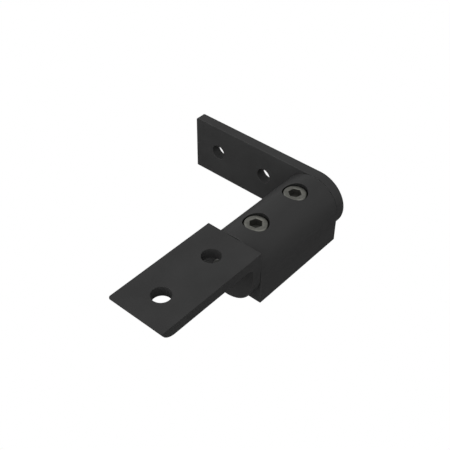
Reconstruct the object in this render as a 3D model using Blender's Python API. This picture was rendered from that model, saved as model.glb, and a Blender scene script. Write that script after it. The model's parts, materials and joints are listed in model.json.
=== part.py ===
"""Pivot hinge: a half-round pivot block with a swinging leaf on each end.

Frame: metres, +Z up. The origin is the centre of the block's flat base. The pivot axis runs
along Y, above the origin. The near leaf (L-shaped) is on the -Y end and the far leaf (flat)
is on the +Y end. Inside, each leaf turns on a plastic bushing round a shouldered pivot screw,
and a spring washer under the screw's head presses on a friction washer to hold the leaf.
"""

import math

import bmesh
import bpy
from mathutils import Matrix

# Pivot block
AXIS_HEIGHT = 0.0130
BLOCK_RADIUS = 0.0129
BLOCK_LENGTH = 0.0480
HALF_LENGTH = BLOCK_LENGTH / 2
END_THREAD_RADIUS = 0.0030

# Mounting screws, socket head 1/4 in x 1 1/8 in, down through the block
MOUNTING_PITCH = 0.0240
MOUNTING_HEAD_RADIUS = 0.00476
MOUNTING_HEAD_HEIGHT = 0.00635
MOUNTING_HEAD_CHAMFER = 0.0004
MOUNTING_SHANK_RADIUS = 0.003175
MOUNTING_SHANK_LENGTH = 0.028575
MOUNTING_TIP_CHAMFER = 0.0006
MOUNTING_HEX_FLATS = 0.00476
MOUNTING_HEX_DEPTH = 0.0030
COUNTERBORE_RADIUS = 0.00516
COUNTERBORE_FLOOR = AXIS_HEIGHT + 0.0054
CLEARANCE_HOLE_RADIUS = 0.0033

# Leaves
LEAF_HALF_WIDTH = 0.0127
LEAF_THICKNESS = 0.0045
NEAR_HOLE_RADIUS = 0.0038
FAR_HOLE_RADIUS = 0.0033
LEAF_HOLE_PITCH = 0.0254
LEAF_GAP = 0.0003
FAR_LEAF_REACH = 2.5 * LEAF_HOLE_PITCH
NEAR_LEAF_REACH = 2.0 * LEAF_HOLE_PITCH
NEAR_INNER_FILLET = 0.0020
NEAR_NOSE_RADIUS = 0.0065
NEAR_NOSE_LAND = 0.0004

# Pivot hardware, the same at both ends. Depths are measured outwards from the block's end.
RUNNING_GAP = 0.00005
PRESS_FIT_GAP = 0.00003
SHOULDER_RADIUS = 0.0035
PIVOT_HEAD_RADIUS = 0.0054
PIVOT_HEAD_HEIGHT = 0.0022
PIVOT_HEX_FLATS = 0.0040
PIVOT_HEX_DEPTH = 0.0014
PIVOT_THREAD_LENGTH = 0.0080
PIVOT_CHAMFER = 0.0004
BUSHING_RADIUS = 0.0045
BUSHING_FLANGE_RADIUS = 0.0064
BUSHING_FLANGE_THICKNESS = 0.00075
HEAD_RECESS_RADIUS = 0.0057
HEAD_RECESS_DEPTH = 0.0020
FRICTION_WASHER_THICKNESS = 0.0005
SPRING_WASHER_THICKNESS = 0.0005
SPRING_WASHER_CONE = 0.0003
WASHER_RADIUS = 0.0053

# Depths worked out from the sizes above
FLANGE_DEPTH = RUNNING_GAP
SLEEVE_DEPTH = FLANGE_DEPTH + BUSHING_FLANGE_THICKNESS
LEAF_OUTER_DEPTH = LEAF_GAP + LEAF_THICKNESS
RECESS_FLOOR_DEPTH = LEAF_OUTER_DEPTH - HEAD_RECESS_DEPTH
FRICTION_DEPTH = RECESS_FLOOR_DEPTH + RUNNING_GAP
SPRING_DEPTH = FRICTION_DEPTH + FRICTION_WASHER_THICKNESS + RUNNING_GAP
HEAD_DEPTH = SPRING_DEPTH + SPRING_WASHER_THICKNESS + SPRING_WASHER_CONE + RUNNING_GAP

# Facets: in a full turn, and in the near leaf's small arcs
ROUND_STEPS = 36
BLOCK_STEPS = 72
NOSE_STEPS = 10
FILLET_STEPS = 6
SMOOTH_ANGLE = math.radians(30)

# How far a cutter passes beyond the face it opens
CUT_PAST = 0.001

NEAR = -1
FAR = 1


def clear_scene():
    for old in list(bpy.data.objects):
        bpy.data.objects.remove(old, do_unlink=True)


def make_material(name, colour, roughness, metallic):
    made = bpy.data.materials.new(name)
    made.use_nodes = True
    shader = made.node_tree.nodes["Principled BSDF"]
    shader.inputs["Base Color"].default_value = (*colour, 1.0)
    shader.inputs["Roughness"].default_value = roughness
    shader.inputs["Metallic"].default_value = metallic
    return made


def arc(centre, radius, start, end, steps):
    """Points of an arc in a plane, from one angle in degrees to another, both included."""
    angles = [math.radians(start + (end - start) * i / steps) for i in range(steps + 1)]
    return [(centre[0] + radius * math.cos(a), centre[1] + radius * math.sin(a)) for a in angles]


def mesh_object(name, builder, finish):
    """An object made from a bmesh, with gentle angles shaded smooth."""
    bmesh.ops.remove_doubles(builder, verts=builder.verts, dist=1e-7)
    bmesh.ops.recalc_face_normals(builder, faces=builder.faces)
    mesh = bpy.data.meshes.new(name)
    builder.to_mesh(mesh)
    builder.free()
    mesh.shade_smooth()
    mesh.set_sharp_from_angle(angle=SMOOTH_ANGLE)
    made = bpy.data.objects.new(name, mesh)
    bpy.context.collection.objects.link(made)
    if finish:
        mesh.materials.append(finish)
    return made


def prism(name, outline, low, high, plane, finish=None):
    """A closed outline swept straight from low to high, across the plane it is drawn in."""
    place = {
        "XZ": lambda u, v, depth: (u, depth, v),
        "YZ": lambda u, v, depth: (depth, u, v),
        "XY": lambda u, v, depth: (u, v, depth),
    }[plane]
    builder = bmesh.new()
    corners = [builder.verts.new(place(u, v, low)) for u, v in outline]
    face = builder.faces.new(corners)
    swept = bmesh.ops.extrude_face_region(builder, geom=[face])["geom"]
    shift = [b - a for a, b in zip(place(0, 0, low), place(0, 0, high))]
    moved = [item for item in swept if isinstance(item, bmesh.types.BMVert)]
    bmesh.ops.translate(builder, verts=moved, vec=shift)
    return mesh_object(name, builder, finish)


def turned(name, profile, steps, finish=None):
    """A closed (radius, height) outline turned all the way round Z."""
    builder = bmesh.new()
    corners = [builder.verts.new((radius, 0, height)) for radius, height in profile]
    edges = [builder.edges.new(pair) for pair in zip(corners, corners[1:] + corners[:1])]
    bmesh.ops.spin(
        builder,
        geom=corners + edges,
        cent=(0, 0, 0),
        axis=(0, 0, 1),
        angle=math.tau,
        steps=steps,
        use_merge=True,
    )
    return mesh_object(name, builder, finish)


def post(name, radius, low, high, steps=ROUND_STEPS):
    """A plain round bar along Z."""
    outline = arc((0, 0), radius, 0, 360, steps)[:-1]
    return prism(name, outline, low, high, "XY")


def hex_bar(name, across_flats, low, high):
    corner_radius = across_flats / 2 / math.cos(math.pi / 6)
    outline = arc((0, 0), corner_radius, 0, 360, 6)[:-1]
    return prism(name, outline, low, high, "XY")


def combine(target, tool, operation):
    """Adds a Boolean to the target and turns the tool into a hidden cutter."""
    tool.hide_render = True
    tool.display_type = "WIRE"
    step = target.modifiers.new(tool.name, "BOOLEAN")
    step.operation = operation
    step.solver = "EXACT"
    step.object = tool


def along_axis(item, side):
    """Stands a Z-built piece along the pivot axis: its z = 0 on the block's end, +z outwards."""
    quarter_turn = Matrix.Rotation(-side * math.pi / 2, 4, "X")
    item.matrix_world = Matrix.Translation((0, side * HALF_LENGTH, AXIS_HEIGHT)) @ quarter_turn


def block_outline():
    """Half-round top over straight sides and a flat base, drawn in X and Z."""
    top = arc((0, AXIS_HEIGHT), BLOCK_RADIUS, 0, 180, BLOCK_STEPS // 2)
    return top + [(-BLOCK_RADIUS, 0), (BLOCK_RADIUS, 0)]


def make_block(finish):
    block = prism("pivot_block", block_outline(), -HALF_LENGTH, HALF_LENGTH, "XZ", finish)
    past_end = HALF_LENGTH + CUT_PAST
    outline = arc((0, AXIS_HEIGHT), END_THREAD_RADIUS, 0, 360, ROUND_STEPS)[:-1]
    combine(block, prism("cut_end_threads", outline, -past_end, past_end, "XZ"), "DIFFERENCE")
    above = AXIS_HEIGHT + BLOCK_RADIUS + CUT_PAST
    profile = [
        (0, above),
        (COUNTERBORE_RADIUS, above),
        (COUNTERBORE_RADIUS, COUNTERBORE_FLOOR),
        (CLEARANCE_HOLE_RADIUS, COUNTERBORE_FLOOR),
        (CLEARANCE_HOLE_RADIUS, -CUT_PAST),
        (0, -CUT_PAST),
    ]
    for label, side in (("near", NEAR), ("far", FAR)):
        cutter = turned(f"cut_{label}_mounting_hole", profile, ROUND_STEPS)
        cutter.location.y = side * MOUNTING_PITCH / 2
        combine(block, cutter, "DIFFERENCE")
    return block


def make_mounting_screw(label, side, finish):
    """Socket-head cap screw, with its underside a running gap above the counterbore's floor."""
    seat = COUNTERBORE_FLOOR + RUNNING_GAP
    top = seat + MOUNTING_HEAD_HEIGHT
    tip = seat - MOUNTING_SHANK_LENGTH
    profile = [
        (0, top),
        (MOUNTING_HEAD_RADIUS - MOUNTING_HEAD_CHAMFER, top),
        (MOUNTING_HEAD_RADIUS, top - MOUNTING_HEAD_CHAMFER),
        (MOUNTING_HEAD_RADIUS, seat),
        (MOUNTING_SHANK_RADIUS, seat),
        (MOUNTING_SHANK_RADIUS, tip + MOUNTING_TIP_CHAMFER),
        (MOUNTING_SHANK_RADIUS - MOUNTING_TIP_CHAMFER, tip),
        (0, tip),
    ]
    screw = turned(f"{label}_mounting_screw", profile, ROUND_STEPS, finish)
    screw.location.y = side * MOUNTING_PITCH / 2
    floor = top - MOUNTING_HEX_DEPTH
    socket = hex_bar(f"cut_{label}_mounting_hex", MOUNTING_HEX_FLATS, floor, top + CUT_PAST)
    socket.location.y = side * MOUNTING_PITCH / 2
    combine(screw, socket, "DIFFERENCE")
    return screw


def make_pivot_screw(label, side, finish):
    """Low-head shoulder screw: thread in the block, shoulder in the bushing, head outside."""
    thread_radius = END_THREAD_RADIUS - RUNNING_GAP
    outer = HEAD_DEPTH + PIVOT_HEAD_HEIGHT
    profile = [
        (0, outer),
        (PIVOT_HEAD_RADIUS - PIVOT_CHAMFER, outer),
        (PIVOT_HEAD_RADIUS, outer - PIVOT_CHAMFER),
        (PIVOT_HEAD_RADIUS, HEAD_DEPTH),
        (SHOULDER_RADIUS, HEAD_DEPTH),
        (SHOULDER_RADIUS, RUNNING_GAP),
        (thread_radius, RUNNING_GAP),
        (thread_radius, PIVOT_CHAMFER - PIVOT_THREAD_LENGTH),
        (thread_radius - PIVOT_CHAMFER, -PIVOT_THREAD_LENGTH),
        (0, -PIVOT_THREAD_LENGTH),
    ]
    screw = turned(f"{label}_pivot_screw", profile, ROUND_STEPS, finish)
    along_axis(screw, side)
    floor = outer - PIVOT_HEX_DEPTH
    socket = hex_bar(f"cut_{label}_pivot_hex", PIVOT_HEX_FLATS, floor, outer + CUT_PAST)
    along_axis(socket, side)
    combine(screw, socket, "DIFFERENCE")
    return screw


def make_bushing(label, side, finish):
    """Flanged sleeve: the flange runs on the block's end, the sleeve lines the leaf's bore."""
    bore = SHOULDER_RADIUS + RUNNING_GAP
    sleeve_end = RECESS_FLOOR_DEPTH - RUNNING_GAP
    profile = [
        (bore, FLANGE_DEPTH),
        (BUSHING_FLANGE_RADIUS, FLANGE_DEPTH),
        (BUSHING_FLANGE_RADIUS, SLEEVE_DEPTH),
        (BUSHING_RADIUS, SLEEVE_DEPTH),
        (BUSHING_RADIUS, sleeve_end),
        (bore, sleeve_end),
    ]
    bushing = turned(f"{label}_bushing", profile, ROUND_STEPS, finish)
    along_axis(bushing, side)
    return bushing


def make_friction_washer(label, side, finish):
    """Flat plastic ring on the floor of the leaf's recess."""
    bore = SHOULDER_RADIUS + RUNNING_GAP
    top = FRICTION_DEPTH + FRICTION_WASHER_THICKNESS
    profile = [
        (bore, FRICTION_DEPTH),
        (WASHER_RADIUS, FRICTION_DEPTH),
        (WASHER_RADIUS, top),
        (bore, top),
    ]
    washer = turned(f"{label}_friction_washer", profile, ROUND_STEPS, finish)
    along_axis(washer, side)
    return washer


def make_spring_washer(label, side, finish):
    """Coned disc spring, its rim on the friction washer and its bore under the screw's head."""
    bore = SHOULDER_RADIUS + RUNNING_GAP
    thickness = SPRING_WASHER_THICKNESS
    crown = SPRING_DEPTH + SPRING_WASHER_CONE
    profile = [
        (bore, crown),
        (WASHER_RADIUS, SPRING_DEPTH),
        (WASHER_RADIUS, SPRING_DEPTH + thickness),
        (bore, crown + thickness),
    ]
    washer = turned(f"{label}_spring_washer", profile, ROUND_STEPS, finish)
    along_axis(washer, side)
    return washer


def make_pivot(label, side):
    """The empty on the pivot axis that a leaf and its bushing turn with."""
    pivot = bpy.data.objects.new(f"{label}_leaf_pivot", None)
    pivot.location = (0, side * HALF_LENGTH, AXIS_HEIGHT)
    bpy.context.collection.objects.link(pivot)
    return pivot


def hang_on(pivot, item):
    """Parents an item to a pivot without moving it, and puts the item's origin on the axis."""
    bpy.context.view_layer.update()
    placed = item.matrix_world.copy()
    item.parent = pivot
    item.matrix_basis = Matrix.Identity(4)
    item.data.transform(pivot.matrix_world.inverted() @ placed)


def cut_pivot_bore(leaf, label, side, pivot):
    """The stepped hole on the pivot axis: flange recess, sleeve bore and head recess."""
    inside = -CUT_PAST
    outside = LEAF_OUTER_DEPTH + CUT_PAST
    steps = (
        ("flange_recess", BUSHING_FLANGE_RADIUS + RUNNING_GAP, inside, SLEEVE_DEPTH + RUNNING_GAP),
        ("sleeve_bore", BUSHING_RADIUS + PRESS_FIT_GAP, inside, outside),
        ("head_recess", HEAD_RECESS_RADIUS, RECESS_FLOOR_DEPTH, outside),
    )
    for step_name, radius, low, high in steps:
        cutter = post(f"cut_{label}_{step_name}", radius, low, high)
        along_axis(cutter, side)
        hang_on(pivot, cutter)
        combine(leaf, cutter, "DIFFERENCE")


def make_far_leaf(finish, pivot):
    """Flat leaf towards -X, with a full-round end on the pivot axis and two bolt holes."""
    inner = HALF_LENGTH + LEAF_GAP
    outer = inner + LEAF_THICKNESS
    width = LEAF_HALF_WIDTH
    outline = arc((0, AXIS_HEIGHT), width, -90, 90, BLOCK_STEPS // 2)
    outline += [(-FAR_LEAF_REACH, AXIS_HEIGHT + width), (-FAR_LEAF_REACH, AXIS_HEIGHT - width)]
    leaf = prism("far_leaf", outline, inner, outer, "XZ", finish)
    hang_on(pivot, leaf)
    for number in (1, 2):
        centre = (-number * LEAF_HOLE_PITCH, AXIS_HEIGHT)
        circle = arc(centre, FAR_HOLE_RADIUS, 0, 360, ROUND_STEPS)[:-1]
        name = f"cut_far_bolt_hole_{number}"
        cutter = prism(name, circle, inner - CUT_PAST, outer + CUT_PAST, "XZ")
        hang_on(pivot, cutter)
        combine(leaf, cutter, "DIFFERENCE")
    cut_pivot_bore(leaf, "far", FAR, pivot)
    return leaf


def near_leaf_side_outline():
    """The L seen from +X, in Y and Z: ear, inner fillet, plate and the plate's rounded nose."""
    back = -(HALF_LENGTH + LEAF_GAP)
    front = back - LEAF_THICKNESS
    end = back - NEAR_LEAF_REACH
    top = AXIS_HEIGHT + LEAF_HALF_WIDTH
    under = top - LEAF_THICKNESS
    fillet = NEAR_INNER_FILLET
    nose = NEAR_NOSE_RADIUS
    below_centre = nose - LEAF_THICKNESS + NEAR_NOSE_LAND
    nose_reach = math.sqrt(nose**2 - below_centre**2)
    tip_angle = 180 + math.degrees(math.asin(below_centre / nose))
    outline = [(back, AXIS_HEIGHT - LEAF_HALF_WIDTH), (back, top), (end, top)]
    outline += arc((end + nose_reach, under + nose), nose, tip_angle, 270, NOSE_STEPS)
    outline += arc((front - fillet, under - fillet), fillet, 90, 0, FILLET_STEPS)
    outline += [(front, AXIS_HEIGHT - LEAF_HALF_WIDTH)]
    return outline


def make_near_leaf(finish, pivot):
    """L-shaped leaf: a round-bottomed ear on the pivot axis and a flat plate towards -Y."""
    width = LEAF_HALF_WIDTH
    leaf = prism("near_leaf", near_leaf_side_outline(), -width, width, "YZ", finish)
    hang_on(pivot, leaf)
    above = AXIS_HEIGHT + width + CUT_PAST
    under = AXIS_HEIGHT + width - LEAF_THICKNESS - CUT_PAST
    front_view = arc((0, AXIS_HEIGHT), width, 180, 360, BLOCK_STEPS // 2)
    front_view += [(width, above), (-width, above)]
    far_end = HALF_LENGTH + LEAF_GAP + NEAR_LEAF_REACH + CUT_PAST
    ear_shape = prism("cut_near_ear_shape", front_view, -far_end, -HALF_LENGTH, "XZ")
    hang_on(pivot, ear_shape)
    combine(leaf, ear_shape, "INTERSECT")
    for number, distance in ((1, LEAF_HOLE_PITCH / 2), (2, LEAF_HOLE_PITCH * 1.5)):
        cutter = post(f"cut_near_bolt_hole_{number}", NEAR_HOLE_RADIUS, under, above)
        cutter.location.y = -(HALF_LENGTH + LEAF_GAP + distance)
        hang_on(pivot, cutter)
        combine(leaf, cutter, "DIFFERENCE")
    cut_pivot_bore(leaf, "near", NEAR, pivot)
    return leaf


def main():
    clear_scene()
    block_black = make_material("block_black", (0.028, 0.028, 0.028), 0.55, 0.3)
    leaf_black = make_material("leaf_black", (0.030, 0.030, 0.030), 0.55, 0.3)
    screw_steel = make_material("screw_steel", (0.20, 0.20, 0.18), 0.40, 0.9)
    pivot_steel = make_material("pivot_steel", (0.10, 0.10, 0.10), 0.40, 0.9)
    spring_steel = make_material("spring_steel", (0.30, 0.30, 0.31), 0.35, 1.0)
    bushing_plastic = make_material("bushing_plastic", (0.020, 0.020, 0.020), 0.60, 0.0)
    washer_plastic = make_material("washer_plastic", (0.60, 0.60, 0.56), 0.55, 0.0)

    make_block(block_black)
    for label, side in (("near", NEAR), ("far", FAR)):
        make_mounting_screw(label, side, screw_steel)
        make_pivot_screw(label, side, pivot_steel)
        make_friction_washer(label, side, washer_plastic)
        make_spring_washer(label, side, spring_steel)
        pivot = make_pivot(label, side)
        bushing = make_bushing(label, side, bushing_plastic)
        hang_on(pivot, bushing)
        make_leaf = make_near_leaf if side == NEAR else make_far_leaf
        make_leaf(leaf_black, pivot)


main()
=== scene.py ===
import json
import math

import bmesh
import bpy
from mathutils import Matrix, Vector


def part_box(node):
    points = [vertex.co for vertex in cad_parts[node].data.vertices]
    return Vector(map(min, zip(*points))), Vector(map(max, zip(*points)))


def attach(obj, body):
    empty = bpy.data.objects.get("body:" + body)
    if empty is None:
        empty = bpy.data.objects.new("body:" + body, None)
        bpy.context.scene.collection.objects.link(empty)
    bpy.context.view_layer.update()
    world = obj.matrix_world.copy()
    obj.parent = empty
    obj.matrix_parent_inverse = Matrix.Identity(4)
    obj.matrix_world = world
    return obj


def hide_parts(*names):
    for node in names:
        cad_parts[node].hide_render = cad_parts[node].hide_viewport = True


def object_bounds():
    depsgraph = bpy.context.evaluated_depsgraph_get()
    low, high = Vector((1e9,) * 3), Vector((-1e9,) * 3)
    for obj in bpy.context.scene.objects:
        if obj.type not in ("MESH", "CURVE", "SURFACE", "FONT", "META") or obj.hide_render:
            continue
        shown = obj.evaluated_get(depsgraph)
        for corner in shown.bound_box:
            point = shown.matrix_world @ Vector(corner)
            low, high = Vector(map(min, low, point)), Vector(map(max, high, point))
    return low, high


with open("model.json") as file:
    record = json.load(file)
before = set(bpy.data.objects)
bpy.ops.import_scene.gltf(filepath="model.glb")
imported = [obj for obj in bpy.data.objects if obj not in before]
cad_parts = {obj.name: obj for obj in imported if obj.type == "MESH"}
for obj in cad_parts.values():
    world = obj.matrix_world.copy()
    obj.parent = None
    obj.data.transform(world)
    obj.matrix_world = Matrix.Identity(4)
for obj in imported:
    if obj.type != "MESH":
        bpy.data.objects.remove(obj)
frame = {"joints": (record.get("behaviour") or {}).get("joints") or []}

CAD_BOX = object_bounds()

NEAR = -1
FAR = 1
SIDES = (("near", NEAR), ("far", FAR))

# Places and sizes read from the frame, in metres
BLOCK_LOW, BLOCK_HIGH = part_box("pivot_block")
AXIS_HEIGHT = frame["joints"][0]["pos_m"][2]
HALF_LENGTH = BLOCK_HIGH.y
FAR_LEAF_LOW, FAR_LEAF_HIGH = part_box("far_leaf")
NEAR_LEAF_LOW, NEAR_LEAF_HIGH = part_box("near_leaf")
LEAF_HALF_WIDTH = NEAR_LEAF_HIGH.x
LEAF_THICKNESS = FAR_LEAF_HIGH.y - FAR_LEAF_LOW.y
LEAF_GAP = FAR_LEAF_LOW.y - HALF_LENGTH
LEAF_HOLE_PITCH = 2 * LEAF_HALF_WIDTH

# Sizes inside the pieces, which the boxes of the nodes can't give
NEAR_HOLE_RADIUS = 0.0038
FAR_HOLE_RADIUS = 0.0033
COUNTERBORE_RADIUS = 0.00516
CLEARANCE_HOLE_RADIUS = 0.0033
END_THREAD_RADIUS = 0.0030
HEAD_RECESS_RADIUS = 0.0057
HEAD_RECESS_DEPTH = 0.0020
SHOULDER_RADIUS = 0.0035
SLEEVE_RADIUS = 0.0045
SCREW_HEAD_HEIGHT = 0.00635
SCREW_HEAD_CHAMFER = 0.0004
SCREW_SHANK_RADIUS = 0.003175
SCREW_HEX_FLATS = 0.00476
SCREW_SOCKET_DEPTH = 0.0030
SCREW_THREAD_LENGTH = 0.0220
SCREW_THREAD_PITCH = 0.00127
PIVOT_HEAD_HEIGHT = 0.0022
PIVOT_HEAD_CHAMFER = 0.0004
PIVOT_HEX_FLATS = 0.0040
PIVOT_SOCKET_DEPTH = 0.0014
PIVOT_THREAD_RADIUS = 0.00295
PIVOT_THREAD_PITCH = 0.0010
THREAD_DEPTH_SHARE = 0.61
RUNNING_GAP = 0.00005
FLANGE_THICKNESS = 0.00075
SPRING_CONE = 0.0003

# Soft edges and shapes too fine for the frame
LEAF_EDGE_RADIUS = 0.00032
BLOCK_EDGE_RADIUS = 0.00025
COUNTERBORE_EDGE = 0.00012
SCREW_EDGE = 0.00010
PLATE_CORNER_RADIUS = 0.0010
NOSE_RADIUS = 0.0065
NOSE_LAND = 0.0004
INNER_FILLET = 0.0020
KNURL_DEPTH = 0.00010
PAST = 0.001

# Facets in a full turn, and what counts as one surface
ROUND_STEPS = 96
WIDE_STEPS = 180
THREAD_STEPS = 32
SHARP_ANGLE = math.radians(35)
MERGE_DISTANCE = 1e-7
WALL_TOLERANCE = 0.00002

# Camera: the angle, distance and lens that the reference view was taken with
CAMERA_AZIMUTH = math.radians(40.88)
CAMERA_ELEVATION = math.radians(41.18)
CAMERA_ROLL = math.radians(0.34)
CAMERA_DISTANCE = 0.3073
CAMERA_AIM = Vector((-0.00965, -0.01850, 0.02257))
CAMERA_LENS = 65.22
CAMERA_SENSOR = 36.0

# Looks: grain sizes and relief in metres, then levels of colour and light
BLACK_DRIFT = 0.012
BLACK_GRAIN = 0.00035
BLACK_RELIEF = 0.000012
STEEL_PATCHES = 0.0012
STEEL_GRAIN = 0.00015
STEEL_RELIEF = 0.000008
PLASTIC_MOTTLE = 0.003
PLASTIC_SATIN = 0.0003
PLASTIC_RELIEF = 0.000006
BLACK_LEVEL = 0.032
# Painted highlight: the lighter level given to the rounded edges of the black pieces
BLACK_EDGE_HIGHLIGHT_LEVEL = 0.040
# Painted shade: the darker level for the walls of the block's mounting holes
HOLE_SHADE_LEVEL = 0.012
BLACK_SPECULAR = 0.18
SCREW_TURNS = (8, 20)
SKY_EVEN = 1.38
SKY_SLOPE = (0.05, -1.0, -0.40)
FLOOR_HALF = 1.5
FLOOR_GAP = 0.00005
FLOOR_GLOW = 0.145
PANELS = (
    ("overhead_panel", Vector((-0.25, 0.10, 0.70)), 0.50, 0.3),
    ("back_panel", Vector((-0.10, 0.60, 0.01)), 0.40, 1.6),
)


# Mesh helpers
def arc(centre, radius, start, end, steps):
    """Points of an arc in a plane, from one angle in degrees to another, both included."""
    angles = [math.radians(start + (end - start) * i / steps) for i in range(steps + 1)]
    return [(centre[0] + radius * math.cos(a), centre[1] + radius * math.sin(a)) for a in angles]


def mesh_object(name, builder, finishes=()):
    bmesh.ops.remove_doubles(builder, verts=builder.verts, dist=MERGE_DISTANCE)
    bmesh.ops.recalc_face_normals(builder, faces=builder.faces)
    mesh = bpy.data.meshes.new(name)
    builder.to_mesh(mesh)
    builder.free()
    for finish in finishes:
        mesh.materials.append(finish)
    made = bpy.data.objects.new(name, mesh)
    bpy.context.collection.objects.link(made)
    return made


def prism(name, outline, low, high, plane, finishes=()):
    """A closed outline swept straight from low to high, across the plane it is drawn in."""
    place = {
        "XZ": lambda u, v, depth: (u, depth, v),
        "YZ": lambda u, v, depth: (depth, u, v),
        "XY": lambda u, v, depth: (u, v, depth),
    }[plane]
    builder = bmesh.new()
    rims = [[builder.verts.new(place(u, v, depth)) for u, v in outline] for depth in (low, high)]
    for rim in rims:
        builder.faces.new(rim)
    for i in range(len(outline)):
        builder.faces.new((rims[0][i - 1], rims[0][i], rims[1][i], rims[1][i - 1]))
    return mesh_object(name, builder, finishes)


def turned(name, profile, finishes=(), steps=ROUND_STEPS):
    """A closed (radius, height) outline turned all the way round Z."""
    builder = bmesh.new()
    corners = [builder.verts.new((radius, 0, height)) for radius, height in profile]
    edges = [builder.edges.new(pair) for pair in zip(corners, corners[1:] + corners[:1])]
    bmesh.ops.spin(
        builder,
        geom=corners + edges,
        cent=(0, 0, 0),
        axis=(0, 0, 1),
        angle=math.tau,
        steps=steps,
        use_merge=True,
    )
    return mesh_object(name, builder, finishes)


def settle(item):
    """Turns an item's modifiers and its place into plain mesh."""
    bpy.context.view_layer.update()
    graph = bpy.context.evaluated_depsgraph_get()
    mesh = bpy.data.meshes.new_from_object(item.evaluated_get(graph))
    mesh.transform(item.matrix_world)
    item.modifiers.clear()
    item.data = mesh
    item.matrix_world = Matrix.Identity(4)


def carve(target, tool, operation="DIFFERENCE"):
    """Cuts, adds or keeps the tool's shape, and removes the tool."""
    step = target.modifiers.new("carve", "BOOLEAN")
    step.operation = operation
    step.solver = "EXACT"
    step.object = tool
    settle(target)
    bpy.data.objects.remove(tool)


def round_edges(item, width, segments=3, wanted=None, slot=1):
    """Rounds the item's sharp edges, or those of them that wanted picks, and gives them the slot's lighter
    finish, a painted highlight along the edges.
    """
    builder = bmesh.new()
    builder.from_mesh(item.data)
    bmesh.ops.remove_doubles(builder, verts=builder.verts, dist=MERGE_DISTANCE)
    edges = [
        edge
        for edge in builder.edges
        if edge.is_manifold and edge.calc_face_angle() > SHARP_ANGLE and (wanted is None or wanted(edge))
    ]
    bmesh.ops.bevel(
        builder,
        geom=edges,
        offset=width,
        segments=segments,
        profile=0.5,
        affect="EDGES",
        clamp_overlap=True,
        material=slot,
    )
    builder.to_mesh(item.data)
    builder.free()


def paint(item, wanted, slot):
    """Gives another finish to the faces whose centres wanted picks; here it paints shade into holes and
    sockets.
    """
    for face in item.data.polygons:
        if wanted(face.center):
            face.material_index = slot


def shade(item):
    """Smooth across gentle angles, with the large faces kept flat to their edges."""
    item.data.shade_smooth()
    item.data.set_sharp_from_angle(angle=SHARP_ANGLE)
    step = item.modifiers.new("flat_faces", "WEIGHTED_NORMAL")
    step.keep_sharp = True
    step.weight = 100


def join(target, extra):
    """Adds another item's mesh to the target's."""
    builder = bmesh.new()
    builder.from_mesh(target.data)
    builder.from_mesh(extra.data)
    builder.to_mesh(target.data)
    builder.free()
    bpy.data.objects.remove(extra)


def along_axis(item, side):
    """Stands a Z-built piece along the pivot axis: its z = 0 on the block's end, +z outwards."""
    quarter_turn = Matrix.Rotation(-side * math.pi / 2, 4, "X")
    item.matrix_world = Matrix.Translation((0, side * HALF_LENGTH, AXIS_HEIGHT)) @ quarter_turn


def depths(node):
    """How far a node on the pivot axis reaches outwards from its block end, least and most."""
    low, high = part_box(node)
    return sorted((abs(low.y) - HALF_LENGTH, abs(high.y) - HALF_LENGTH))


def radius_of(node):
    low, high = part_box(node)
    return (high.x - low.x) / 2


def hand_over(item, body, slot, *nodes):
    """Finishes a piece: its shading, the body it rides on and the CAD nodes it stands for. The slot argument
    is not used.
    """
    shade(item)
    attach(item, body)
    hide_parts(*nodes)


# Materials
def start_material(name, **values):
    """A material whose shader sockets start from these plain values."""
    made = bpy.data.materials.new(name)
    made.use_nodes = True
    shader = made.node_tree.nodes["Principled BSDF"]
    for socket, value in values.items():
        shader.inputs[socket.replace("_", " ")].default_value = value
    return made, made.node_tree, shader


def noise(tree, size, detail, stretch=(1, 1, 1)):
    """A noise of this grain size in metres, on the piece's own coordinates."""
    place = tree.nodes.new("ShaderNodeTexCoord")
    scale = tree.nodes.new("ShaderNodeMapping")
    scale.inputs["Scale"].default_value = stretch
    made = tree.nodes.new("ShaderNodeTexNoise")
    made.inputs["Scale"].default_value = 1 / size
    made.inputs["Detail"].default_value = detail
    tree.links.new(place.outputs["Object"], scale.inputs["Vector"])
    tree.links.new(scale.outputs["Vector"], made.inputs["Vector"])
    return made.outputs["Fac"]


def drive_colour(tree, shader, source, dark, light):
    """Base colour from dark to light over the source's middle range."""
    ramp = tree.nodes.new("ShaderNodeValToRGB")
    for stop, place, colour in zip(ramp.color_ramp.elements, (0.3, 0.7), (dark, light)):
        stop.position = place
        stop.color = (*colour, 1)
    tree.links.new(source, ramp.inputs["Fac"])
    tree.links.new(ramp.outputs["Color"], shader.inputs["Base Color"])


def drive_roughness(tree, shader, source, low, high):
    """Roughness from low to high over the source's middle range."""
    spread = tree.nodes.new("ShaderNodeMapRange")
    for socket, value in (("From Min", 0.3), ("From Max", 0.7), ("To Min", low), ("To Max", high)):
        spread.inputs[socket].default_value = value
    tree.links.new(source, spread.inputs["Value"])
    tree.links.new(spread.outputs["Result"], shader.inputs["Roughness"])


def drive_bump(tree, shader, source, depth):
    made = tree.nodes.new("ShaderNodeBump")
    made.inputs["Distance"].default_value = depth
    tree.links.new(source, made.inputs["Height"])
    tree.links.new(made.outputs["Normal"], shader.inputs["Normal"])


def grey(level, warmth=1.0):
    """A near-neutral colour; warmth under 1 takes a little blue away."""
    return (level, level, level * warmth)


def black_finish(name, level, contrast, rough, stretch=(1, 1, 1)):
    """Matt black coat: a slow drift of tone over a fine grain in gloss and relief."""
    made, tree, shader = start_material(name, Specular_IOR_Level=BLACK_SPECULAR)
    drift = noise(tree, BLACK_DRIFT, 3, stretch)
    grain = noise(tree, BLACK_GRAIN, 4, stretch)
    drive_colour(tree, shader, drift, grey(level * (1 - contrast)), grey(level * (1 + contrast)))
    drive_roughness(tree, shader, grain, rough - 0.07, rough + 0.07)
    drive_bump(tree, shader, grain, BLACK_RELIEF)
    return made


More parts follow.
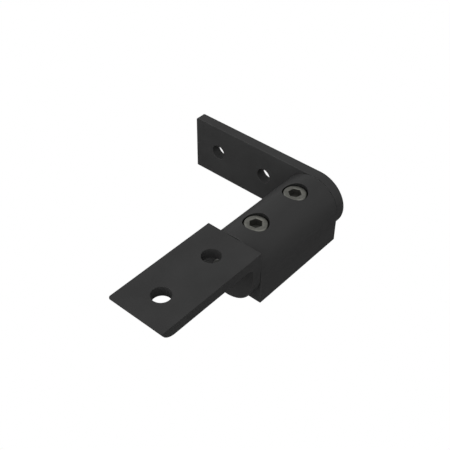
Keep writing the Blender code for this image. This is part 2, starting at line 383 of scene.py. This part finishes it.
def steel_finish(name, level, contrast, rough, warmth=1.0, stretch=(1, 1, 1)):
    """Dull metal: patchy tone, and a fine grain that can be drawn out into machining lines."""
    made, tree, shader = start_material(name, Metallic=1.0)
    patches = noise(tree, STEEL_PATCHES, 4)
    grain = noise(tree, STEEL_GRAIN, 4, stretch)
    dark, light = grey(level * (1 - contrast), warmth), grey(level * (1 + contrast), warmth)
    drive_colour(tree, shader, patches, dark, light)
    drive_roughness(tree, shader, grain, rough - 0.08, rough + 0.08)
    drive_bump(tree, shader, grain, STEEL_RELIEF)
    return made


def plastic_finish(name, level, rough, warmth=1.0):
    """Moulded plastic: nearly even tone with a fine satin texture."""
    made, tree, shader = start_material(name)
    mottle = noise(tree, PLASTIC_MOTTLE, 3)
    satin = noise(tree, PLASTIC_SATIN, 3)
    drive_colour(tree, shader, mottle, grey(level * 0.92, warmth), grey(level * 1.08, warmth))
    drive_roughness(tree, shader, satin, rough - 0.06, rough + 0.06)
    drive_bump(tree, shader, satin, PLASTIC_RELIEF)
    return made


def make_finishes():
    """Each slot's finish; the second is a lighter copy that paints a highlight on the piece's rounded edges,
    and a third, darker copy paints shade inside holes and sockets.
    """
    along_y = (1, 0.15, 1)
    return {
        "block_black": [
            black_finish("block_black", BLACK_LEVEL, 0.10, 0.50, along_y),
            black_finish("block_black_painted_highlight", BLACK_EDGE_HIGHLIGHT_LEVEL, 0.20, 0.42),
            black_finish("block_black_hole_painted_shade", HOLE_SHADE_LEVEL, 0.10, 0.60),
        ],
        "leaf_black": [
            black_finish("leaf_black", BLACK_LEVEL, 0.10, 0.52),
            black_finish("leaf_black_painted_highlight", BLACK_EDGE_HIGHLIGHT_LEVEL, 0.20, 0.42),
        ],
        "screw_steel": [
            steel_finish("screw_steel", 0.22, 0.15, 0.36, 0.90),
            steel_finish("screw_steel_painted_highlight", 0.28, 0.15, 0.30, 0.92),
            steel_finish("screw_steel_socket_painted_shade", 0.145, 0.15, 0.50, 0.92),
        ],
        "pivot_steel": [
            steel_finish("pivot_steel", 0.15, 0.15, 0.40, 0.96),
            steel_finish("pivot_steel_painted_highlight", 0.20, 0.15, 0.34, 0.96),
        ],
        "spring_steel": [
            steel_finish("spring_steel", 0.30, 0.10, 0.34),
            steel_finish("spring_steel_painted_highlight", 0.38, 0.10, 0.28),
        ],
        "bushing_plastic": [
            plastic_finish("bushing_plastic", 0.020, 0.55),
            plastic_finish("bushing_plastic_painted_highlight", 0.026, 0.50),
        ],
        "washer_plastic": [
            plastic_finish("washer_plastic", 0.60, 0.50, 0.93),
            plastic_finish("washer_plastic_painted_highlight", 0.64, 0.45, 0.93),
        ],
    }


# Pivot block
def block_outline():
    """Half-round top over straight sides and a flat base, drawn in X and Z."""
    radius = BLOCK_HIGH.x
    top = arc((0, AXIS_HEIGHT), radius, 0, 180, WIDE_STEPS // 2)
    return top + [(-radius, BLOCK_LOW.z), (radius, BLOCK_LOW.z)]


def mounting_places():
    """Each mounting screw's label, its centre in Y, and its underside and top in Z."""
    places = []
    for label, _side in SIDES:
        low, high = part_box(f"{label}_mounting_screw")
        places.append((label, (low.y + high.y) / 2, low.z, high.z))
    return places


def in_mounting_hole(place):
    """True inside a counterbore or the clearance hole below it."""
    reach = COUNTERBORE_RADIUS + RUNNING_GAP
    centres = [centre for _label, centre, _tip, _top in mounting_places()]
    return any(math.hypot(place.x, place.y - centre) < reach for centre in centres)


def on_counterbore_rim(edge):
    """True for the edge where a counterbore opens through the block's round top."""
    for _label, centre, _tip, top in mounting_places():
        distances = [math.hypot(vert.co.x, vert.co.y - centre) for vert in edge.verts]
        on_wall = all(abs(distance - COUNTERBORE_RADIUS) < WALL_TOLERANCE for distance in distances)
        if on_wall and min(vert.co.z for vert in edge.verts) > top - SCREW_HEAD_HEIGHT / 2:
            return True
    return False


def make_block(finishes):
    block = prism("machined_pivot_block", block_outline(), -HALF_LENGTH, HALF_LENGTH, "XZ", finishes)
    round_edges(block, BLOCK_EDGE_RADIUS)
    past_end = HALF_LENGTH + PAST
    bore = arc((0, AXIS_HEIGHT), END_THREAD_RADIUS, 0, 360, ROUND_STEPS)[:-1]
    carve(block, prism("end_threads", bore, -past_end, past_end, "XZ"))
    for label, centre, _tip, top in mounting_places():
        floor = top - SCREW_HEAD_HEIGHT - RUNNING_GAP
        profile = [
            (0, BLOCK_HIGH.z + PAST),
            (COUNTERBORE_RADIUS, BLOCK_HIGH.z + PAST),
            (COUNTERBORE_RADIUS, floor),
            (CLEARANCE_HOLE_RADIUS, floor),
            (CLEARANCE_HOLE_RADIUS, -PAST),
            (0, -PAST),
        ]
        cutter = turned(f"{label}_mounting_hole", profile)
        cutter.location.y = centre
        carve(block, cutter)
    # Painted shade: the counterbore and clearance-hole walls take the darker hole finish
    paint(block, in_mounting_hole, 2)
    round_edges(block, COUNTERBORE_EDGE, 2, on_counterbore_rim)
    hand_over(block, "block", "block_black", "pivot_block")


# Leaves
def cut_pivot_bore(leaf, label, side):
    """The stepped hole on the pivot axis: flange recess, sleeve bore and head recess."""
    outer = LEAF_GAP + LEAF_THICKNESS
    recess_floor = outer - HEAD_RECESS_DEPTH
    flange_floor = SLEEVE_START + RUNNING_GAP
    flange_radius = radius_of(f"{label}_bushing") + RUNNING_GAP
    bore_radius = SLEEVE_RADIUS + RUNNING_GAP
    lead = LEAF_EDGE_RADIUS / 2
    profile = [
        (0, -PAST),
        (flange_radius, -PAST),
        (flange_radius, flange_floor),
        (bore_radius, flange_floor),
        (bore_radius, recess_floor),
        (HEAD_RECESS_RADIUS, recess_floor),
        (HEAD_RECESS_RADIUS, outer - lead),
        (HEAD_RECESS_RADIUS + lead, outer),
        (HEAD_RECESS_RADIUS + lead, outer + PAST),
        (0, outer + PAST),
    ]
    cutter = turned(f"{label}_pivot_bore", profile)
    along_axis(cutter, side)
    carve(leaf, cutter)


def make_far_leaf(finishes):
    """Flat leaf towards -X, with a full-round end on the pivot axis and two bolt holes."""
    low, high = FAR_LEAF_LOW, FAR_LEAF_HIGH
    corner = PLATE_CORNER_RADIUS
    outline = arc((0, AXIS_HEIGHT), LEAF_HALF_WIDTH, -90, 90, WIDE_STEPS // 2)
    outline += arc((low.x + corner, high.z - corner), corner, 90, 180, 8)
    outline += [(low.x, low.z)]
    leaf = prism("finished_far_leaf", outline, low.y, high.y, "XZ", finishes)
    for number in (1, 2):
        circle = arc((-number * LEAF_HOLE_PITCH, AXIS_HEIGHT), FAR_HOLE_RADIUS, 0, 360, ROUND_STEPS)[:-1]
        carve(leaf, prism("bolt_hole", circle, low.y - PAST, high.y + PAST, "XZ"))
    round_edges(leaf, LEAF_EDGE_RADIUS)
    cut_pivot_bore(leaf, "far", FAR)
    hand_over(leaf, "far_leaf", "leaf_black", "far_leaf")


def near_leaf_side_outline():
    """The L seen from +X, in Y and Z: ear, inner fillet, plate and the plate's rounded nose."""
    back, end = NEAR_LEAF_HIGH.y, NEAR_LEAF_LOW.y
    front = back - LEAF_THICKNESS
    foot, top = NEAR_LEAF_LOW.z, NEAR_LEAF_HIGH.z
    under = top - LEAF_THICKNESS
    below_centre = NOSE_RADIUS - LEAF_THICKNESS + NOSE_LAND
    nose_reach = math.sqrt(NOSE_RADIUS**2 - below_centre**2)
    tip_angle = 180 + math.degrees(math.asin(below_centre / NOSE_RADIUS))
    outline = [(back, foot), (back, top), (end, top)]
    outline += arc((end + nose_reach, under + NOSE_RADIUS), NOSE_RADIUS, tip_angle, 270, 16)
    outline += arc((front - INNER_FILLET, under - INNER_FILLET), INNER_FILLET, 90, 0, 12)
    outline += [(front, foot)]
    return outline


def near_leaf_front_outline():
    """The ear's full-round foot and the plate's full width, in X and Z."""
    width = LEAF_HALF_WIDTH
    above = NEAR_LEAF_HIGH.z + PAST
    return arc((0, AXIS_HEIGHT), width, 180, 360, WIDE_STEPS // 2) + [(width, above), (-width, above)]


def near_leaf_plan_outline():
    """The plate's plan in X and Y, with its two outer corners softened."""
    width, corner = LEAF_HALF_WIDTH, PLATE_CORNER_RADIUS
    end = NEAR_LEAF_LOW.y
    outline = [(width, -HALF_LENGTH + PAST), (-width, -HALF_LENGTH + PAST)]
    outline += arc((-width + corner, end + corner), corner, 180, 270, 8)
    outline += arc((width - corner, end + corner), corner, 270, 360, 8)
    return outline


def make_near_leaf(finishes):
    """L-shaped leaf: a round-bottomed ear on the pivot axis and a flat plate towards -Y."""
    width = LEAF_HALF_WIDTH
    low, high = NEAR_LEAF_LOW, NEAR_LEAF_HIGH
    leaf = prism("finished_near_leaf", near_leaf_side_outline(), -width, width, "YZ", finishes)
    front_view = prism("front_view", near_leaf_front_outline(), low.y - PAST, high.y + PAST, "XZ")
    carve(leaf, front_view, "INTERSECT")
    plan_view = prism("plan_view", near_leaf_plan_outline(), low.z - PAST, high.z + PAST, "XY")
    carve(leaf, plan_view, "INTERSECT")
    for share in (0.5, 1.5):
        centre = (0, high.y - share * LEAF_HOLE_PITCH)
        circle = arc(centre, NEAR_HOLE_RADIUS, 0, 360, ROUND_STEPS)[:-1]
        carve(leaf, prism("bolt_hole", circle, high.z - 2 * LEAF_THICKNESS, high.z + PAST, "XY"))
    round_edges(leaf, LEAF_EDGE_RADIUS)
    cut_pivot_bore(leaf, "near", NEAR)
    hand_over(leaf, "near_leaf", "leaf_black", "near_leaf")


# Screws
def hex_socket(flats, turn, top, depth):
    """Cutter for a hexagon socket with a drilled point at its bottom."""
    corner_radius = flats / 2 / math.cos(math.pi / 6)
    outline = arc((0, 0), corner_radius, turn, turn + 360, 6)[:-1]
    cutter = prism("socket", outline, top - depth, top + PAST, "XY")
    point_radius = flats / 2 - RUNNING_GAP
    point = [(0, top), (point_radius, top), (point_radius, top - depth), (0, top - depth - point_radius / 3)]
    carve(cutter, turned("socket_point", point), "UNION")
    return cutter


def in_socket(place, flats, low, high):
    """True for a point inside a hexagon socket, between the head's seat and its top."""
    return low < place.z < high - RUNNING_GAP and math.hypot(place.x, place.y) < 0.6 * flats


def knurl(item, radius, low, high):
    """Sinks every other lengthwise line of a round head's side, between two heights."""
    for vert in item.data.vertices:
        reach = math.hypot(vert.co.x, vert.co.y)
        step = round(math.atan2(vert.co.y, vert.co.x) / (math.tau / ROUND_STEPS))
        if step % 2 and abs(reach - radius) < MERGE_DISTANCE * 10 and low < vert.co.z < high:
            vert.co.xy *= (radius - KNURL_DEPTH) / radius


def thread_ridge(crest, pitch, low, high, finishes):
    """A helical ridge round Z, from low to high, that fades in and out over half a turn."""
    root = crest - THREAD_DEPTH_SHARE * pitch
    seat = root - RUNNING_GAP
    steps = round(((high - low) / pitch - 1) * THREAD_STEPS)
    builder = bmesh.new()
    rows = []
    for step in range(steps + 1):
        angle = math.tau * step / THREAD_STEPS
        middle = low + pitch * (0.5 + step / THREAD_STEPS)
        fade = min(1, 2 * step / THREAD_STEPS, 2 * (steps - step) / THREAD_STEPS)
        peak = seat + (crest - seat) * fade
        section = ((seat, -0.44), (peak, -0.06), (peak, 0.06), (seat, 0.44))
        rows.append(
            [
                builder.verts.new(
                    (radius * math.cos(angle), radius * math.sin(angle), middle + share * pitch)
                )
                for radius, share in section
            ]
        )
    for before, after in zip(rows[1:-1], rows[2:-1]):
        for i in range(4):
            builder.faces.new((before[i - 1], before[i], after[i], after[i - 1]))
    builder.faces.new(rows[1])
    builder.faces.new(rows[-2])
    for end in (rows[0], rows[-1]):
        for vert in end:
            builder.verts.remove(vert)
    return mesh_object("thread_ridge", builder, finishes)


def make_mounting_screw(label, centre, tip, top, turn, finishes):
    """Socket-head cap screw with a knurled head and a rolled thread."""
    seat = top - SCREW_HEAD_HEIGHT
    head_radius = radius_of(f"{label}_mounting_screw")
    thread_top = tip + SCREW_THREAD_LENGTH
    root = SCREW_SHANK_RADIUS - THREAD_DEPTH_SHARE * SCREW_THREAD_PITCH
    point = 1.2 * SCREW_THREAD_PITCH
    knurl_low, knurl_high = seat + 2 * SCREW_HEAD_CHAMFER, top - 2 * SCREW_HEAD_CHAMFER
    profile = [
        (0, top),
        (head_radius - SCREW_HEAD_CHAMFER, top),
        (head_radius, top - SCREW_HEAD_CHAMFER),
        (head_radius, knurl_high),
        (head_radius, knurl_low),
        (head_radius, seat),
        (SCREW_SHANK_RADIUS, seat),
        (SCREW_SHANK_RADIUS, thread_top),
        (root, thread_top - SCREW_THREAD_PITCH / 2),
        (root, tip + point / 2),
        (root - point / 2, tip),
        (0, tip),
    ]
    screw = turned(f"{label}_cap_screw", profile, finishes)
    knurl(screw, head_radius, knurl_low - RUNNING_GAP, knurl_high + RUNNING_GAP)
    carve(screw, hex_socket(SCREW_HEX_FLATS, turn, top, SCREW_SOCKET_DEPTH))
    # Painted shade: the socket's walls and drilled point take the darker socket finish
    paint(screw, lambda place: in_socket(place, SCREW_HEX_FLATS, seat, top), 2)
    round_edges(screw, SCREW_EDGE, 2, lambda edge: min(vert.co.z for vert in edge.verts) > top - RUNNING_GAP)
    ridge = thread_ridge(SCREW_SHANK_RADIUS, SCREW_THREAD_PITCH, tip + point / 3, thread_top, finishes)
    join(screw, ridge)
    screw.location.y = centre
    settle(screw)
    hand_over(screw, "block", "screw_steel", f"{label}_mounting_screw")


def make_pivot_screw(label, side, finishes):
    """Low-head shoulder screw: thread in the block, shoulder in the bushing, head outside."""
    node = f"{label}_pivot_screw"
    low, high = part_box(node)
    inner_end = (low.y if side == FAR else -high.y) - HALF_LENGTH
    outer = (high.y if side == FAR else -low.y) - HALF_LENGTH
    head_radius = radius_of(node)
    under_head = outer - PIVOT_HEAD_HEIGHT
    root = PIVOT_THREAD_RADIUS - THREAD_DEPTH_SHARE * PIVOT_THREAD_PITCH
    profile = [
        (0, outer),
        (head_radius - PIVOT_HEAD_CHAMFER, outer),
        (head_radius, outer - PIVOT_HEAD_CHAMFER),
        (head_radius, under_head),
        (SHOULDER_RADIUS, under_head),
        (SHOULDER_RADIUS, RUNNING_GAP),
        (root, RUNNING_GAP),
        (root, inner_end + PIVOT_THREAD_PITCH / 2),
        (root - PIVOT_THREAD_PITCH / 2, inner_end),
        (0, inner_end),
    ]
    screw = turned(f"{label}_shoulder_screw", profile, finishes)
    carve(screw, hex_socket(PIVOT_HEX_FLATS, 0, outer, PIVOT_SOCKET_DEPTH))
    lip = outer - 2 * PIVOT_HEAD_CHAMFER
    round_edges(screw, SCREW_EDGE, 2, lambda edge: min(vert.co.z for vert in edge.verts) > lip)
    join(screw, thread_ridge(PIVOT_THREAD_RADIUS, PIVOT_THREAD_PITCH, inner_end, 0, finishes))
    along_axis(screw, side)
    settle(screw)
    hand_over(screw, "block", "pivot_steel", node)


# Bushings and washers
SLEEVE_START = depths("far_bushing")[0] + FLANGE_THICKNESS


def make_ring(node, name, body, side, slot, profile, finishes):
    """A turned ring on the pivot axis that stands for a plain CAD ring."""
    ring = turned(name, profile, finishes)
    round_edges(ring, SCREW_EDGE / 2, 1)
    along_axis(ring, side)
    settle(ring)
    hand_over(ring, body, slot, node)


def make_bushing(label, side, finishes):
    """Flanged sleeve, pressed in a leaf round its pivot screw's shoulder."""
    node = f"{label}_bushing"
    bore = SHOULDER_RADIUS + RUNNING_GAP
    start, end = depths(node)
    wide = radius_of(node)
    profile = [
        (bore, start),
        (wide, start),
        (wide, SLEEVE_START),
        (SLEEVE_RADIUS, SLEEVE_START),
        (SLEEVE_RADIUS, end),
        (bore, end),
    ]
    name = f"{label}_flanged_bushing"
    make_ring(node, name, f"{label}_leaf", side, "bushing_plastic", profile, finishes["bushing_plastic"])


def make_friction_ring(label, side, finishes):
    """Flat ring between the leaf's recess and the disc spring."""
    node = f"{label}_friction_washer"
    bore = SHOULDER_RADIUS + RUNNING_GAP
    start, end = depths(node)
    wide = radius_of(node)
    profile = [(bore, start), (wide, start), (wide, end), (bore, end)]
    name = f"{label}_friction_ring"
    make_ring(node, name, "block", side, "washer_plastic", profile, finishes["washer_plastic"])


def make_disc_spring(label, side, finishes):
    """Coned spring under the pivot screw's head, with its inner rim outwards."""
    node = f"{label}_spring_washer"
    bore = SHOULDER_RADIUS + RUNNING_GAP
    start, end = depths(node)
    wide = radius_of(node)
    thick = end - start - SPRING_CONE
    profile = [(bore, start + SPRING_CONE), (wide, start), (wide, start + thick), (bore, end)]
    name = f"{label}_disc_spring"
    make_ring(node, name, "block", side, "spring_steel", profile, finishes["spring_steel"])


# Stage
def only_seen(tree, seen, lighting):
    """Mixes two shaders: what the camera sees, and what lights the object."""
    path = tree.nodes.new("ShaderNodeLightPath")
    mix = tree.nodes.new("ShaderNodeMixShader")
    tree.links.new(path.outputs["Is Camera Ray"], mix.inputs["Fac"])
    tree.links.new(lighting, mix.inputs[1])
    tree.links.new(seen, mix.inputs[2])
    return mix.outputs["Shader"]


def make_world():
    """White behind the object, and a soft sky for its light that brightens evenly along one slope."""
    world = bpy.data.worlds.new("studio")
    world.use_nodes = True
    tree = world.node_tree
    tree.nodes.clear()
    seen = tree.nodes.new("ShaderNodeBackground")
    seen.inputs["Color"].default_value = (1, 1, 1, 1)
    lighting = tree.nodes.new("ShaderNodeBackground")
    direction = tree.nodes.new("ShaderNodeTexCoord")
    along = tree.nodes.new("ShaderNodeVectorMath")
    along.operation = "DOT_PRODUCT"
    along.inputs[1].default_value = SKY_SLOPE
    level = tree.nodes.new("ShaderNodeMath")
    level.use_clamp = False
    level.inputs[1].default_value = SKY_EVEN
    output = tree.nodes.new("ShaderNodeOutputWorld")
    tree.links.new(direction.outputs["Generated"], along.inputs[0])
    tree.links.new(along.outputs["Value"], level.inputs[0])
    tree.links.new(level.outputs["Value"], lighting.inputs["Strength"])
    shader = only_seen(tree, seen.outputs["Background"], lighting.outputs["Background"])
    tree.links.new(shader, output.inputs["Surface"])
    bpy.context.scene.world = world


def floor_finish():
    """Pale paper under even light: seen as bright as the backdrop, and dimmer where it lights the object."""
    made = bpy.data.materials.new("pale_floor")
    made.use_nodes = True
    tree = made.node_tree
    tree.nodes.clear()
    seen = tree.nodes.new("ShaderNodeEmission")
    lighting = tree.nodes.new("ShaderNodeEmission")
    lighting.inputs["Strength"].default_value = FLOOR_GLOW
    output = tree.nodes.new("ShaderNodeOutputMaterial")
    mixed = only_seen(tree, seen.outputs["Emission"], lighting.outputs["Emission"])
    tree.links.new(mixed, output.inputs["Surface"])
    return made


def make_floor():
    """A plain floor just under the lowest screw tip."""
    level = CAD_BOX[0].z - FLOOR_GAP
    half = FLOOR_HALF
    outline = [(-half, -half), (half, -half), (half, half), (-half, half)]
    floor = prism("floor", outline, level - PAST, level, "XY", [floor_finish()])


def make_panel(name, place, size, radiance):
    """A square soft panel that faces the object, with its power worked out from its radiance."""
    light = bpy.data.lights.new(name, "AREA")
    light.size = size
    light.energy = radiance * math.pi * size**2
    panel = bpy.data.objects.new(name, light)
    panel.location = place
    panel.rotation_euler = (-place).to_track_quat("-Z", "Y").to_euler()
    bpy.context.collection.objects.link(panel)


def make_camera():
    data = bpy.data.cameras.new("camera")
    data.sensor_width = CAMERA_SENSOR
    data.lens = CAMERA_LENS
    data.clip_start = 0.01
    data.clip_end = 10
    back = Vector(
        (
            math.sin(CAMERA_AZIMUTH) * math.cos(CAMERA_ELEVATION),
            -math.cos(CAMERA_AZIMUTH) * math.cos(CAMERA_ELEVATION),
            math.sin(CAMERA_ELEVATION),
        )
    )
    level = (-back).to_track_quat("-Z", "Y").to_matrix().to_4x4()
    camera = bpy.data.objects.new("camera", data)
    camera.matrix_world = (
        Matrix.Translation(CAMERA_AIM + back * CAMERA_DISTANCE) @ level @ Matrix.Rotation(CAMERA_ROLL, 4, "Z")
    )
    bpy.context.collection.objects.link(camera)
    bpy.context.scene.camera = camera


def main():
    finishes = make_finishes()
    make_block(finishes["block_black"])
    make_near_leaf(finishes["leaf_black"])
    make_far_leaf(finishes["leaf_black"])
    for (label, centre, tip, top), turn in zip(mounting_places(), SCREW_TURNS):
        make_mounting_screw(label, centre, tip, top, turn, finishes["screw_steel"])
    for label, side in SIDES:
        make_pivot_screw(label, side, finishes["pivot_steel"])
        make_bushing(label, side, finishes)
        make_friction_ring(label, side, finishes)
        make_disc_spring(label, side, finishes)
    make_world()
    make_floor()
    for panel in PANELS:
        make_panel(*panel)
    make_camera()
    bpy.context.scene.view_settings.view_transform = "Standard"


main()
